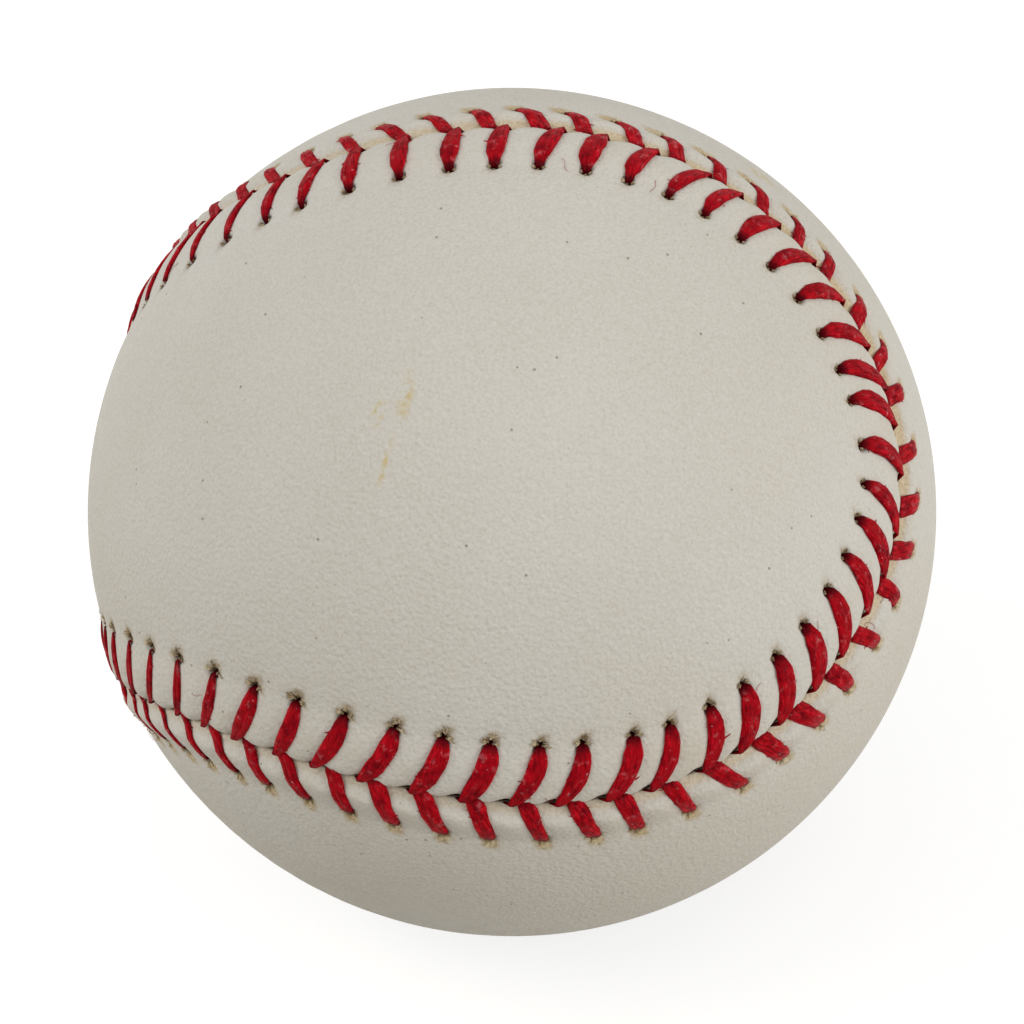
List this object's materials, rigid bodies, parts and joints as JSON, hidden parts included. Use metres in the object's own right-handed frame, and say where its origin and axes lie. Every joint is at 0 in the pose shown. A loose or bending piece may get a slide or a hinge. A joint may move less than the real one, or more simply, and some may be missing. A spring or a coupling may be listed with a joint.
{
  "type": "baseball",
  "caption": "Hand-sewn leather baseball with a raised seam of red thread, over wound wool, rubber and a cork core; made to be pitched, hit and caught.",
  "frame": {"origin": "centre of the ball", "axes": "+X passes through the narrow waist of leather_panel_two and -X through that of leather_panel_one; +Y, -Y, +Z and -Z pass through the four spots where the seam crosses the plane between the waists"},
  "size_m": [0.0742, 0.0766, 0.0766],
  "materials": {
    "cork": "matt pressed cork",
    "black_rubber": "matt moulded rubber",
    "red_rubber": "matt moulded rubber",
    "grey_wool": "wound wool yarn",
    "white_wool": "wound wool yarn",
    "finishing_yarn": "fine wound yarn set in rubber cement",
    "leather": "off-white smooth-grain cowhide, lightly stained",
    "red_thread": "waxed crimson cotton thread"
  },
  "bodies": {
    "root": {"cork_core": "cork", "black_rubber_cup_upper": "black_rubber", "black_rubber_cup_lower": "black_rubber", "joint_washer": "red_rubber", "red_rubber_skin": "red_rubber", "inner_grey_wool": "grey_wool", "white_wool": "white_wool", "outer_grey_wool": "grey_wool", "finishing_yarn": "finishing_yarn", "leather_panel_one": "leather", "leather_panel_two": "leather", "thread_strand_one": "red_thread", "thread_strand_two": "red_thread"}
  },
  "joints": []
}
